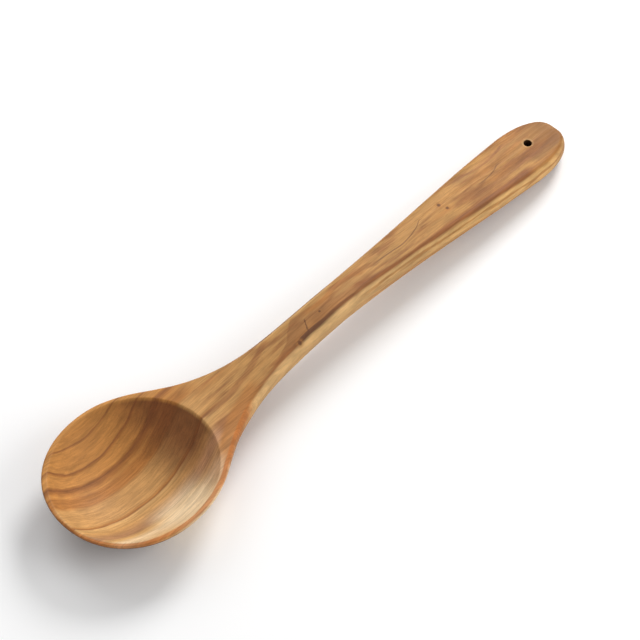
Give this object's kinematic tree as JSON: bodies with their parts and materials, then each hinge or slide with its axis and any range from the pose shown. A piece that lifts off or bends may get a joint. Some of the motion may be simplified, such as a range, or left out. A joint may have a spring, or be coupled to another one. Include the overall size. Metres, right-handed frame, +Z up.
{
  "type": "wooden cooking spoon",
  "caption": "Long one-piece wooden cooking spoon with a shallow oval bowl, arched handle and a hanging hole.",
  "frame": {"origin": "middle of the footprint, on the surface that the spoon lies on", "axes": "+X from the bowl to the handle end, +Z up, Y across"},
  "size_m": [0.3, 0.0712, 0.0234],
  "materials": {
    "olive_wood": "oiled satin"
  },
  "bodies": {
    "root": {"spoon": "olive_wood"}
  },
  "joints": []
}
